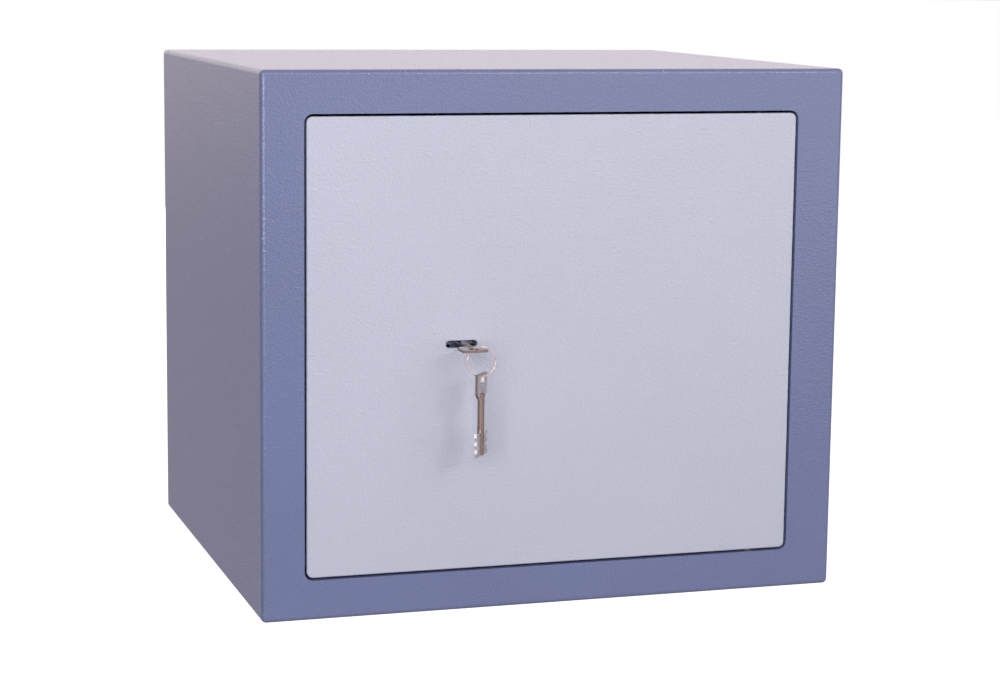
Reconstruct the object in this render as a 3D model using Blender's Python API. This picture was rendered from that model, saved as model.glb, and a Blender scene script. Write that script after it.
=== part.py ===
"""A key-only steel safe with one right-hung door, its lock, bolt work and two keys on a ring.

Metres, +Z up. The origin is the centre of the base, the door faces -Y and +X is to its right.
The door is closed and its bolts are drawn in, which is the rest pose. Inside the door, places
are given as a depth behind the front face, so depth 0 is the door's outer face.
"""
import math

import bmesh
import bpy
from mathutils import Matrix, Vector

# Clearances: pieces that are fixed together, pieces that run on each other, and how far a
# cutting tool is taken past the surface it breaks through
SEAM = 0.0003
RUNNING = 0.0005
PAST = 0.010

# Body: a folded steel wrap, with a front flange that is wider on the hinge side
WIDTH = 0.500
HEIGHT = 0.445
DEPTH = 0.440
WALL = 0.003
EDGE_R = 0.004
FRAME_LEFT = 0.0352
FRAME_RIGHT = 0.0408
FRAME_TOP = 0.0348
FRAME_BOTTOM = 0.0332

# Door, its rebate and the pan that carries the lock
DOOR_GAP = 0.002
DOOR_T = 0.0045
DOOR_CORNER_R = 0.005
DOOR_EDGE_R = 0.0012
JAMB_T = 0.003
PAN_T = 0.002
PAN_CLEAR = 0.004
PAN_LIP = 0.014
PAN_TO_HINGE = 0.003
COVER_T = 0.0015
COVER_INSET = 0.003
COVER_CORNER_R = 0.006
STOP_W = 0.012
STOP_T = 0.010
STOP_CORNER_R = 0.002
STOP_FROM_TOP = 0.020
STOP_FROM_BOTTOM = 0.008

# Screws: one thread size, with a wider head on the inner cover than on the lock
SCREW_R = 0.0019
SCREW_L = 0.0065
SCREW_TIP = 0.0008
SCREW_DOME = 0.0022
SCREW_DRIVE = 0.0004
COVER_HEAD_R = 0.0036
CAP_HEAD_R = 0.0032

# Hinge: a pin at the top and the bottom of the door, hidden behind its face
HINGE_IN = 0.030
WASHER_WALL = 0.0014
PIN_R = 0.004
PIN_L = 0.036
PIN_CHAMFER = 0.0008
HINGE_BLOCK_W = 0.020
HINGE_BLOCK_H = 0.020
HINGE_BLOCK_WALL = 0.005
HINGE_BLOCK_DROP = 0.003
PIN_LET_IN = 0.001
BUSH_T = 0.0015
BRACKET_W = 0.034
BRACKET_H = 0.013
BRACKET_DEPTH = 0.021

# Dead bar on the hinge side
DEAD_SHORT = 0.030
DEAD_REACH = 0.0075
DEAD_CLEAR = 0.0025
DEAD_T = 0.006

# Keyhole and key
KEY_FROM_LEFT = 0.1288
KEY_RAISE = 0.001
SLOT_L = 0.027
SLOT_H = 0.006
HARD_T = 0.0028
HARD_W = 0.120
HARD_H = 0.110
HEAD_W = 0.021
HEAD_L = 0.020
HEAD_T = 0.0022
HEAD_CHAMFER = 0.0006
HEAD_SHOULDER = 0.004
HEAD_HOLE_R = 0.00375
HEAD_HOLE_IN = 0.0054
SHANK_R = 0.0028
SHANK_L = 0.0275
SHANK_TIP = 0.0010
BIT_L = 0.0195
BIT_T = 0.0025
BIT_CUTS = (0.0118, 0.0092, 0.0112, 0.0086, 0.0104, 0.0118)
RING_R = 0.012
RING_WIRE_R = 0.0005
RING_HANG = math.radians(-56.0)
RING_DROP = 0.0007
SPARE_TURN = math.radians(-38.0)

# Lock case and its levers
CASE_WALL = 0.0015
CASE_BOSS = 0.009
CASE_LEFT = 0.036
CASE_RIGHT = 0.026
CASE_UP = 0.036
CASE_DOWN = 0.042
CASE_ROOM = 0.0009
CAP_T = 0.0025
LEVER_COUNT = 4
LEVER_T = 0.002
LEVER_CLEAR = 0.0011
LEVER_ROOM = 0.0027
LEVER_WINDOW = 0.0014
LEVER_WEB = 0.0045
LEVER_EYE = 0.0035
GATE_STEP = 0.0022
GATE_HALF = 0.0018
GATE_IN = 0.0022
POST_OFFSET = 0.023
POST_R = 0.0025
POST_FOOT = 0.002
POST_FOOT_T = 0.0012

# Drum and pinion turned by the key
DRUM_R = 0.008
DRUM_FLANGE = 0.0025
DRUM_FLANGE_T = 0.0015
PINION_TEETH = 14
MODULE = 0.001
PRESSURE = math.radians(20.0)
ADDENDUM = 0.0008
DEDENDUM = 0.0011
BACKLASH = 0.00022
ROOT_SPREAD = 0.02
JOURNAL_R = 0.004
JOURNAL_L = 0.005
STRAP_T = 0.002
STRAP_FOOT = 0.009
STRAP_WALL = 0.0018
STRAP_UP = 0.021
STRAP_DOWN = 0.025

# Bolt work: one layer for the bolt bar, one behind it for the two rods
BAR_CLEAR = 0.0021
BAR_T = 0.0045
BAR_W = 0.042
BAR_OVER = 0.015
BAR_ARM = 0.010
BAR_NOTCH = 0.005
FLANGE_T = 0.004
LAYER_GAP = 0.0015
ROD_T = 0.0045
ROD_W = 0.012
ROD_ROOM = 0.0105
THROW = 0.022
RACK_OVER = 0.008
RACK_END = 0.002
BOLT_R = 0.008
BOLT_L = 0.042
BOLT_CHAMFER = 0.0012
BOLT_CLEAR = 0.0015
BOLT_SPREAD = 0.095
STUD_R = 0.004
RIVET_R = 0.0022
RIVET_L = 0.0025
ROD_BOLT_R = 0.007
ROD_BOLT_SHARE = 0.65
GUIDE_R = 0.003
GUIDE_IN = 0.012
GUIDE_SPREAD = 0.055
GUIDE_FLANGE_R = 0.006
GUIDE_HEAD_T = 0.0022
ROD_GUIDE_GAP = 0.014
ROD_GUIDE_WALL = 0.006
ROD_GUIDE_H = 0.012

# Shelf, and the holes for bolting the safe down with the plugs that close them
SHELF_T = 0.002
SHELF_Z = 0.225
SHELF_FRONT = 0.085
SHELF_LIP = 0.012
RAIL_W = 0.014
RAIL_SHORT = 0.020
ANCHOR_R = 0.006
ANCHOR_X = 0.150
ANCHOR_Y = 0.110
BACK_ANCHOR_X = 0.110
BACK_ANCHOR_Z = 0.330
PLUG_LIP = 0.003
PLUG_HEAD_T = 0.0022
PLUG_DOME = 0.0008

# Places that follow from the sizes
FRONT = -DEPTH / 2
BACK = DEPTH / 2
OPEN_LEFT = -WIDTH / 2 + FRAME_LEFT
OPEN_RIGHT = WIDTH / 2 - FRAME_RIGHT
OPEN_TOP = HEIGHT - FRAME_TOP
OPEN_BOTTOM = FRAME_BOTTOM
DOOR_LEFT = OPEN_LEFT + DOOR_GAP
DOOR_RIGHT = OPEN_RIGHT - DOOR_GAP
DOOR_TOP = OPEN_TOP - DOOR_GAP
DOOR_BOTTOM = OPEN_BOTTOM + DOOR_GAP
WASHER_R = PIN_R + SEAM + WASHER_WALL
HINGE_BACK = DOOR_T + SEAM + WASHER_R
HINGE_X = DOOR_RIGHT - HINGE_IN
HINGE_Y = FRONT + HINGE_BACK
BORE_R = PIN_R + RUNNING / 2
KEY_X = DOOR_LEFT + KEY_FROM_LEFT
KEY_Z = (DOOR_TOP + DOOR_BOTTOM) / 2 + KEY_RAISE
HARD_BACK = DOOR_T + SEAM + HARD_T
BIT_FRONT = HARD_BACK + SEAM
BIT_STEP = BIT_L / len(BIT_CUTS)
HEAD_FRONT = BIT_FRONT - SHANK_L - HEAD_L
RING_OFFSET = RING_R - RING_DROP
RING_X = KEY_X + RING_OFFSET * math.cos(RING_HANG)
RING_Z = KEY_Z + RING_OFFSET * math.sin(RING_HANG)
PAN_SHORT = HINGE_BLOCK_DROP + HINGE_BLOCK_H + PAN_TO_HINGE
PAN_LEFT = OPEN_LEFT + PAN_CLEAR
PAN_RIGHT = HINGE_X + HINGE_BLOCK_W / 2 + PAN_CLEAR
PAN_TOP = DOOR_TOP - PAN_SHORT
PAN_BOTTOM = DOOR_BOTTOM + PAN_SHORT
PITCH_R = MODULE * PINION_TEETH / 2
POST_X = KEY_X - POST_OFFSET
POST_FRONT = HARD_BACK + SEAM + CASE_WALL + SEAM
LEVER_START = POST_FRONT + POST_FOOT_T + LEVER_CLEAR
LEVER_WINDOW_R = max(BIT_CUTS) + LEVER_WINDOW
CASE_BACK = BIT_FRONT + BIT_L + CASE_ROOM
LEVER_PITCH = (CASE_BACK - LEVER_START - LEVER_ROOM) / LEVER_COUNT
CAP_BACK = CASE_BACK + SEAM + CAP_T
BAR_FRONT = CAP_BACK + SEAM + DRUM_FLANGE_T + BAR_CLEAR
ROD_FRONT = BAR_FRONT + BAR_T + LAYER_GAP
ROD_BACK = ROD_FRONT + ROD_T
PAN_DEPTH = ROD_BACK + ROD_ROOM
BOLT_DEPTH = BAR_FRONT + BAR_T
JAMB_DEPTH = BOLT_DEPTH - BOLT_R - BOLT_CLEAR
BAR_X = PAN_LEFT + SEAM + BOLT_L
ROD_DEPTH = ROD_FRONT + ROD_T / 2
ROD_GUIDE_OUT = HARD_H / 2 + ROD_GUIDE_GAP + ROD_GUIDE_H
ROD_BOLT_L = ROD_BOLT_SHARE * (DOOR_TOP - SEAM - KEY_Z - ROD_GUIDE_OUT)
TOP_ROD_X = KEY_X - PITCH_R - DEDENDUM - ROD_W / 2
BOTTOM_ROD_X = KEY_X + PITCH_R + DEDENDUM + ROD_W / 2


# ---------------------------------------------------------------- mesh tools
def y_at(depth):
    """World Y of a depth behind the door's front face."""
    return FRONT + depth


def prism(outline, axis, low, high):
    """A solid with a flat outline, drawn along X, Y or Z from low to high."""
    place = {
        "x": lambda u, v, w: (w, u, v),
        "y": lambda u, v, w: (u, w, v),
        "z": lambda u, v, w: (u, v, w),
    }[axis]
    bm = bmesh.new()
    ends = [[bm.verts.new(place(u, v, w)) for u, v in outline] for w in (low, high)]
    for end in ends:
        bm.faces.new(end)
    count = len(outline)
    for i in range(count):
        j = (i + 1) % count
        bm.faces.new((ends[0][i], ends[0][j], ends[1][j], ends[1][i]))
    bmesh.ops.recalc_face_normals(bm, faces=bm.faces)
    return bm


def rectangle(u0, u1, v0, v1):
    """The corners of a rectangle."""
    return [(u0, v0), (u1, v0), (u1, v1), (u0, v1)]


def arc(u, v, radius, start, end, steps):
    """Points on an arc, ends included."""
    turns = [start + (end - start) * i / steps for i in range(steps + 1)]
    return [(u + radius * math.cos(a), v + radius * math.sin(a)) for a in turns]


def rounded(u0, u1, v0, v1, radius, steps=4):
    """A rectangle with round corners."""
    quarter = math.pi / 2
    points = arc(u1 - radius, v1 - radius, radius, 0, quarter, steps)
    points += arc(u0 + radius, v1 - radius, radius, quarter, 2 * quarter, steps)
    points += arc(u0 + radius, v0 + radius, radius, 2 * quarter, 3 * quarter, steps)
    points += arc(u1 - radius, v0 + radius, radius, 3 * quarter, 4 * quarter, steps)
    return points


def obround(u, v, length, height, steps=8):
    """A slot's outline: two half circles joined by straight sides."""
    reach = (length - height) / 2
    points = arc(u + reach, v, height / 2, -math.pi / 2, math.pi / 2, steps)
    points += arc(u - reach, v, height / 2, math.pi / 2, 3 * math.pi / 2, steps)
    return points


def circle(u, v, radius, steps=32):
    """A round outline."""
    return arc(u, v, radius, 0, 2 * math.pi, steps)[:-1]


def lathe(profile, axis, centre, steps=32):
    """A solid of revolution about X, Y or Z. The profile lists (along, radius) from end to end."""
    place = {
        "x": lambda a, u, v: (a, centre[0] + u, centre[1] + v),
        "y": lambda a, u, v: (centre[0] + u, a, centre[1] + v),
        "z": lambda a, u, v: (centre[0] + u, centre[1] + v, a),
    }[axis]
    bm = bmesh.new()
    rings = []
    for along, radius in profile:
        points = circle(0, 0, radius, steps)
        rings.append([bm.verts.new(place(along, u, v)) for u, v in points])
    bm.faces.new(rings[0])
    bm.faces.new(rings[-1])
    for a, b in zip(rings, rings[1:]):
        for i in range(steps):
            j = (i + 1) % steps
            bm.faces.new((a[i], a[j], b[j], b[i]))
    bmesh.ops.recalc_face_normals(bm, faces=bm.faces)
    return bm


def material(name, colour, roughness, metallic):
    """A plain Principled material, made once for each name."""
    made = bpy.data.materials.get(name)
    if made is None:
        made = bpy.data.materials.new(name)
        made.use_nodes = True
        shader = made.node_tree.nodes["Principled BSDF"]
        shader.inputs["Base Color"].default_value = (*colour, 1)
        shader.inputs["Roughness"].default_value = roughness
        shader.inputs["Metallic"].default_value = metallic
    return made


def combine(obj, bm, operation):
    """Cut another solid from an object's mesh, or join it on, with an exact Boolean."""
    mesh = bpy.data.meshes.new("tool")
    bm.to_mesh(mesh)
    bm.free()
    tool = bpy.data.objects.new("tool", mesh)
    bpy.context.scene.collection.objects.link(tool)
    modifier = obj.modifiers.new("combine", "BOOLEAN")
    modifier.object = tool
    modifier.operation = operation
    modifier.solver = "EXACT"
    bpy.context.view_layer.update()
    depsgraph = bpy.context.evaluated_depsgraph_get()
    result = bpy.data.meshes.new_from_object(obj.evaluated_get(depsgraph))
    obj.modifiers.remove(modifier)
    before = obj.data
    obj.data = result
    bpy.data.meshes.remove(before)
    bpy.data.objects.remove(tool)
    bpy.data.meshes.remove(mesh)


def solid(name, bm, finish, cuts=(), joins=()):
    """One named piece: its mesh, what is joined to it, what is cut from it, and its material."""
    mesh = bpy.data.meshes.new(name)
    bm.to_mesh(mesh)
    bm.free()
    obj = bpy.data.objects.new(name, mesh)
    bpy.context.scene.collection.objects.link(obj)
    for extra in joins:
        combine(obj, extra, "UNION")
    for cutter in cuts:
        combine(obj, cutter, "DIFFERENCE")
    obj.data.name = name
    obj.data.materials.clear()
    obj.data.materials.append(finish)
    obj.data.shade_smooth()
    obj.data.set_sharp_from_angle(angle=math.radians(30))
    return obj


def settle(obj, origin, parent=None):
    """Move an object's origin without moving its surface, and hang it on its parent."""
    origin = Vector(origin)
    obj.data.transform(Matrix.Translation(-origin))
    obj.location = origin
    if parent is not None:
        obj.parent = parent
        obj.location = origin - world_of(parent)


def world_of(obj):
    """World place of an object whose parents are all unturned."""
    place = obj.location.copy()
    if obj.parent is not None:
        place += world_of(obj.parent)
    return place


def pivot(name, place, parent=None):
    """An empty on a joint's axis or at a group's reference point."""
    empty = bpy.data.objects.new(name, None)
    empty.empty_display_size = 0.02
    bpy.context.scene.collection.objects.link(empty)
    empty.location = Vector(place)
    if parent is not None:
        empty.parent = parent
        empty.location = Vector(place) - world_of(parent)
    return empty


# ---------------------------------------------------------------- finishes
def powder_coat():
    return material("powder_coat_grey", (0.30, 0.31, 0.45), 0.45, 0.0)


def door_coat():
    return material("powder_coat_pale", (0.52, 0.53, 0.66), 0.42, 0.0)


def bare_steel():
    return material("brushed_steel", (0.55, 0.55, 0.56), 0.35, 1.0)


def nickel():
    return material("nickel_plate", (0.74, 0.72, 0.70), 0.22, 1.0)


def copper_wire():
    return material("copper_wire", (0.80, 0.48, 0.40), 0.30, 1.0)


def bronze():
    return material("bronze", (0.60, 0.42, 0.22), 0.35, 1.0)


def nylon():
    return material("nylon_white", (0.80, 0.79, 0.75), 0.50, 0.0)


def rubber():
    return material("rubber_black", (0.03, 0.03, 0.035), 0.80, 0.0)


# ---------------------------------------------------------------- body
def body_wrap():
    """Top, floor, sides and front flange: one folded and welded sheet-steel shell."""
    half = WIDTH / 2
    bm = prism(rectangle(-half, half, 0, HEIGHT), "y", FRONT, BACK)
    rim = [e for e in bm.edges if min(v.co.y for v in e.verts) < 0]
    bmesh.ops.bevel(bm, geom=rim, offset=EDGE_R, segments=4, profile=0.5, affect="EDGES")
    inside = rectangle(-half + WALL, half - WALL, WALL, HEIGHT - WALL)
    opening = rounded(OPEN_LEFT, OPEN_RIGHT, OPEN_BOTTOM, OPEN_TOP, DOOR_CORNER_R + DOOR_GAP, 5)
    cuts = [prism(inside, "y", FRONT + WALL, BACK + WALL)]
    cuts.append(prism(opening, "y", FRONT - PAST, FRONT + PAST))
    for x, y in base_anchors():
        cuts.append(prism(circle(x, y, ANCHOR_R, 24), "z", -PAST, PAST))
    return solid("body_wrap", bm, powder_coat(), cuts)


def jamb_frame():
    """The rebate that the door closes into: a frame welded behind the front flange."""
    corner = DOOR_CORNER_R + DOOR_GAP
    outer = rounded(OPEN_LEFT - JAMB_T, OPEN_RIGHT + JAMB_T, OPEN_BOTTOM - JAMB_T,
                    OPEN_TOP + JAMB_T, corner + JAMB_T, 5)
    inner = rounded(OPEN_LEFT, OPEN_RIGHT, OPEN_BOTTOM, OPEN_TOP, corner, 5)
    bm = prism(outer, "y", y_at(WALL + SEAM), y_at(JAMB_DEPTH))
    cuts = [prism(inner, "y", y_at(0), y_at(JAMB_DEPTH + PAST))]
    for z in (OPEN_TOP, OPEN_BOTTOM):
        hole = circle(HINGE_X, HINGE_Y, PIN_R + RUNNING, 24)
        cuts.append(prism(hole, "z", z - PAST, z + PAST))
    return solid("jamb_frame", bm, powder_coat(), cuts)


def back_panel():
    """The back, set in between the walls and welded all round."""
    half = WIDTH / 2 - WALL - SEAM
    outline = rectangle(-half, half, WALL + SEAM, HEIGHT - WALL - SEAM)
    bm = prism(outline, "y", BACK - WALL, BACK)
    cuts = [prism(circle(x, z, ANCHOR_R, 24), "y", BACK - PAST, BACK + PAST)
            for x, z in back_anchors()]
    return solid("back_panel", bm, powder_coat(), cuts)


def base_anchors():
    return [(sx * ANCHOR_X, sy * ANCHOR_Y) for sx in (-1, 1) for sy in (-1, 1)]


def back_anchors():
    return [(side * BACK_ANCHOR_X, BACK_ANCHOR_Z) for side in (-1, 1)]


def anchor_plug(name, axis, centre, inner_face, outward):
    """A push-in plug that closes an unused anchor hole from inside the safe."""
    head = inner_face - outward * SEAM
    profile = [
        (head - outward * PLUG_HEAD_T, ANCHOR_R),
        (head - outward * (PLUG_HEAD_T - PLUG_DOME), ANCHOR_R + PLUG_LIP),
        (head, ANCHOR_R + PLUG_LIP),
        (head, ANCHOR_R - SEAM),
        (inner_face + outward * (WALL - RUNNING), ANCHOR_R - SEAM),
    ]
    return solid(name, lathe(profile, axis, centre, 24), rubber())


def door_stop(name, low):
    """A rubber block on the lock-side jamb that the door's back face closes against."""
    x0 = OPEN_LEFT + SEAM
    front = DOOR_T + SEAM
    bm = prism(rectangle(x0, x0 + STOP_W, low, low + STOP_W), "y", y_at(front), y_at(front + STOP_T))
    free = [e for e in bm.edges if min(v.co.x for v in e.verts) > x0 + STOP_W / 2
            and abs(e.verts[0].co.y - e.verts[1].co.y) > STOP_T / 2]
    bmesh.ops.bevel(bm, geom=free, offset=STOP_CORNER_R, segments=3, profile=0.5, affect="EDGES")
    return solid(name, bm, rubber())


def hinge_bracket(name, low):
    """The welded block behind the front flange that holds a hinge bush."""
    bm = prism(rectangle(HINGE_X - BRACKET_W / 2, HINGE_X + BRACKET_W / 2,
                         y_at(WALL + SEAM), y_at(WALL + SEAM + BRACKET_DEPTH)),
               "z", low, low + BRACKET_H)
    seat = circle(HINGE_X, HINGE_Y, BORE_R + BUSH_T + SEAM, 32)
    return solid(name, bm, bare_steel(), [prism(seat, "z", low - PAST, low + BRACKET_H + PAST)])


def hinge_bush(name, low):
    """A bronze sleeve that the hinge pin turns in."""
    outer = circle(HINGE_X, HINGE_Y, BORE_R + BUSH_T, 32)
    bore = prism(circle(HINGE_X, HINGE_Y, BORE_R, 32), "z", low - PAST, low + BRACKET_H + PAST)
    return solid(name, prism(outer, "z", low, low + BRACKET_H), bronze(), [bore])


def shelf():
    """A sheet shelf with a turned-down front edge, resting on two side rails."""
    half = WIDTH / 2 - WALL - 2 * SEAM - RUNNING
    back = BACK - WALL - 2 * SEAM - RUNNING
    front = y_at(SHELF_FRONT)
    profile = [
        (front, SHELF_Z), (back, SHELF_Z), (back, SHELF_Z - SHELF_T),
        (front + SHELF_T, SHELF_Z - SHELF_T), (front + SHELF_T, SHELF_Z - SHELF_LIP),
        (front, SHELF_Z - SHELF_LIP),
    ]
    return solid("shelf", prism(profile, "x", -half, half), powder_coat())


def shelf_rail(name, side):
    """A steel angle welded to a side wall under the shelf."""
    wall = side * (WIDTH / 2 - WALL - SEAM)
    top = SHELF_Z - SHELF_T - SEAM
    inner = wall - side * RAIL_W
    profile = [
        (wall, top), (inner, top), (inner, top - SHELF_T), (wall - side * SHELF_T, top - SHELF_T),
        (wall - side * SHELF_T, top - RAIL_W), (wall, top - RAIL_W),
    ]
    bm = prism(profile, "y", y_at(SHELF_FRONT + SHELF_T + SEAM), BACK - WALL - SEAM - RAIL_SHORT)
    return solid(name, bm, powder_coat())


# ---------------------------------------------------------------- door
def door_plate():
    """The flush front plate, with a horizontal keyhole and no handle."""
    outline = rounded(DOOR_LEFT, DOOR_RIGHT, DOOR_BOTTOM, DOOR_TOP, DOOR_CORNER_R, 5)
    bm = prism(outline, "y", y_at(0), y_at(DOOR_T))
    face = [e for e in bm.edges if max(v.co.y for v in e.verts) < y_at(DOOR_T / 2)]
    bmesh.ops.bevel(bm, geom=face, offset=DOOR_EDGE_R, segments=3, profile=0.5, affect="EDGES")
    return solid("door_plate", bm, door_coat(), [keyhole()])


def keyhole():
    """The slot cut through the door plate and the hard plate."""
    return prism(obround(KEY_X, KEY_Z, SLOT_L, SLOT_H), "y", y_at(-PAST), y_at(HARD_BACK + PAST))


def hard_plate():
    """A drill-resisting plate between the door plate and the lock."""
    bm = prism(rectangle(KEY_X - HARD_W / 2, KEY_X + HARD_W / 2,
                         KEY_Z - HARD_H / 2, KEY_Z + HARD_H / 2),
               "y", y_at(DOOR_T + SEAM), y_at(HARD_BACK))
    return solid("hard_plate", bm, bare_steel(), [keyhole()])


def pan_screws():
    """Places of the cover screws, in the middle of the pan's rear lip."""
    edge = COVER_INSET + (PAN_LIP - COVER_INSET) / 2
    columns = (PAN_LEFT + edge, PAN_RIGHT - edge)
    rows = (PAN_BOTTOM + edge, (PAN_BOTTOM + PAN_TOP) / 2, PAN_TOP - edge)
    return [(x, z) for x in columns for z in rows]


def bolt_rows():
    return [KEY_Z - BOLT_SPREAD, KEY_Z, KEY_Z + BOLT_SPREAD]


def door_pan():
    """The box behind the door plate that guides the bolts and carries the inner cover."""
    outer = rectangle(PAN_LEFT, PAN_RIGHT, PAN_BOTTOM, PAN_TOP)
    inside = rectangle(PAN_LEFT + PAN_T, PAN_RIGHT - PAN_T, PAN_BOTTOM + PAN_T, PAN_TOP - PAN_T)
    mouth = rectangle(PAN_LEFT + PAN_LIP, PAN_RIGHT - PAN_LIP, PAN_BOTTOM + PAN_LIP, PAN_TOP - PAN_LIP)
    bm = prism(outer, "y", y_at(DOOR_T + SEAM), y_at(PAN_DEPTH))
    cuts = [prism(inside, "y", y_at(0), y_at(PAN_DEPTH - PAN_T))]
    cuts.append(prism(mouth, "y", y_at(PAN_DEPTH - PAST), y_at(PAN_DEPTH + PAST)))
    for z in bolt_rows():
        hole = circle(y_at(BOLT_DEPTH), z, BOLT_R + RUNNING, 32)
        cuts.append(prism(hole, "x", PAN_LEFT - PAST, PAN_LEFT + PAST))
    for x, z in ((TOP_ROD_X, PAN_TOP), (BOTTOM_ROD_X, PAN_BOTTOM)):
        hole = circle(x, y_at(ROD_DEPTH), ROD_BOLT_R + RUNNING, 32)
        cuts.append(prism(hole, "z", z - PAST, z + PAST))
    for x, z in pan_screws():
        cuts.append(screw_hole(x, z, PAN_DEPTH - PAST, PAN_DEPTH + PAST))
    return solid("door_pan", bm, powder_coat(), cuts)


def screw_hole(x, z, front, back):
    """The clearance hole for a screw, between two depths."""
    return prism(circle(x, z, SCREW_R + SEAM, 16), "y", y_at(front), y_at(back))


def inner_cover():
    """The removable sheet over the lock and bolt work, seen when the door is open."""
    inset = COVER_INSET
    outline = rounded(PAN_LEFT + inset, PAN_RIGHT - inset, PAN_BOTTOM + inset, PAN_TOP - inset,
                      COVER_CORNER_R)
    bm = prism(outline, "y", y_at(PAN_DEPTH + SEAM), y_at(PAN_DEPTH + SEAM + COVER_T))
    cuts = [screw_hole(x, z, PAN_DEPTH - PAST, PAN_DEPTH + PAST) for x, z in pan_screws()]
    return solid("inner_cover", bm, powder_coat(), cuts)


def screw(name, x, z, seat, head_r):
    """A pan-head screw that points to the front, with a cross recess in its head."""
    face = y_at(seat + SEAM)
    tip = face - SCREW_L
    profile = [(tip, SCREW_R - SCREW_TIP / 2), (tip + SCREW_TIP, SCREW_R), (face, SCREW_R), (face, head_r)]
    dome = ((0.55, 0.96), (0.90, 0.70), (1.00, 0.35))
    profile += [(face + SCREW_DOME * rise, head_r * width) for rise, width in dome]
    arm = head_r * 0.55
    floor = face + SCREW_DOME * 0.4
    cuts = []
    for wide, tall in ((arm, SCREW_DRIVE), (SCREW_DRIVE, arm)):
        cuts.append(prism(rectangle(x - wide, x + wide, z - tall, z + tall), "y", floor, floor + PAST))
    return solid(name, lathe(profile, "y", (x, z), 20), nickel(), cuts)


def hinge_block(name, low):
    """A steel block welded behind the door plate that holds a hinge pin."""
    half = HINGE_BLOCK_W / 2
    outline = rectangle(HINGE_X - half, HINGE_X + half, y_at(DOOR_T + SEAM),
                        y_at(HINGE_BACK + PIN_R + HINGE_BLOCK_WALL))
    bore = prism(circle(HINGE_X, HINGE_Y, PIN_R + SEAM, 32), "z", low - PAST, low + HINGE_BLOCK_H + PAST)
    return solid(name, prism(outline, "z", low, low + HINGE_BLOCK_H), bare_steel(), [bore])


def hinge_pin(name, inner_end, outward):
    """A steel pin from a hinge block into the bush in the body."""
    outer_end = inner_end + outward * PIN_L
    chamfer = outward * PIN_CHAMFER
    profile = [
        (inner_end, PIN_R - PIN_CHAMFER), (inner_end + chamfer, PIN_R),
        (outer_end - chamfer, PIN_R), (outer_end, PIN_R - PIN_CHAMFER),
    ]
    return solid(name, lathe(profile, "z", (HINGE_X, HINGE_Y), 32), nickel())


def thrust_washer():
    """The bronze washer under the lower hinge block that carries the door's weight."""
    low = OPEN_BOTTOM + SEAM
    bm = prism(circle(HINGE_X, HINGE_Y, WASHER_R, 32), "z", low, low + DOOR_GAP)
    bore = prism(circle(HINGE_X, HINGE_Y, PIN_R + SEAM, 32), "z", low - PAST, low + PAST)
    return solid("thrust_washer", bm, bronze(), [bore])


def dead_bar():
    """The fixed bar on the hinge side that hooks behind the jamb when the door is shut."""
    outline = rectangle(PAN_RIGHT + SEAM, OPEN_RIGHT + DEAD_REACH,
                        PAN_BOTTOM + DEAD_SHORT, PAN_TOP - DEAD_SHORT)
    front = JAMB_DEPTH + DEAD_CLEAR
    return solid("dead_bar", prism(outline, "y", y_at(front), y_at(front + DEAD_T)), bare_steel())


# ---------------------------------------------------------------- lock
def lock_case():
    """The open box behind the hard plate that houses the levers and the drum."""
    x0, x1 = KEY_X - CASE_LEFT, KEY_X + CASE_RIGHT
    z0, z1 = KEY_Z - CASE_DOWN, KEY_Z + CASE_UP
    bm = prism(rectangle(x0, x1, z0, z1), "y", y_at(BIT_FRONT), y_at(CASE_BACK))
    left, right, low, high = x0 + CASE_WALL, x1 - CASE_WALL, z0 + CASE_WALL, z1 - CASE_WALL
    inside = [
        (left, low), (right - CASE_BOSS, low), (right - CASE_BOSS, low + CASE_BOSS),
        (right, low + CASE_BOSS), (right, high), (left + CASE_BOSS, high),
        (left + CASE_BOSS, high - CASE_BOSS), (left, high - CASE_BOSS),
    ]
    cuts = [prism(inside, "y", y_at(BIT_FRONT + CASE_WALL), y_at(CASE_BACK + PAST))]
    for x, z in cap_screws():
        cuts.append(screw_hole(x, z, CASE_BACK - SCREW_L, CASE_BACK + PAST))
    cuts.append(prism(circle(KEY_X, KEY_Z, LEVER_WINDOW_R, 40), "y", y_at(0), y_at(BIT_FRONT + PAST)))
    return solid("lock_case", bm, bare_steel(), cuts)


def cap_screws():
    """Places of the lock cap's two screws, over the case's corner bosses."""
    inset = (CASE_WALL + CASE_BOSS) / 2
    return [(KEY_X - CASE_LEFT + inset, KEY_Z + CASE_UP - inset),
            (KEY_X + CASE_RIGHT - inset, KEY_Z - CASE_DOWN + inset)]


def lock_cap():
    """The lock case's rear plate, which the drum turns in."""
    outline = rectangle(KEY_X - CASE_LEFT, KEY_X + CASE_RIGHT, KEY_Z - CASE_DOWN, KEY_Z + CASE_UP)
    bm = prism(outline, "y", y_at(CASE_BACK + SEAM), y_at(CAP_BACK))
    front, back = CASE_BACK - PAST, CAP_BACK + PAST
    cuts = [prism(circle(KEY_X, KEY_Z, DRUM_R + SEAM, 32), "y", y_at(front), y_at(back))]
    cuts += [screw_hole(x, z, front, back) for x, z in cap_screws()]
    return solid("lock_cap", bm, bare_steel(), cuts)


def lever_post():
    """The stud that the levers pivot on."""
    shoulder = y_at(POST_FRONT + POST_FOOT_T)
    profile = [
        (y_at(POST_FRONT), POST_R + POST_FOOT), (shoulder, POST_R + POST_FOOT),
        (shoulder, POST_R), (y_at(CASE_BACK), POST_R),
    ]
    return solid("lever_post", lathe(profile, "y", (POST_X, KEY_Z), 20), nickel())


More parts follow.
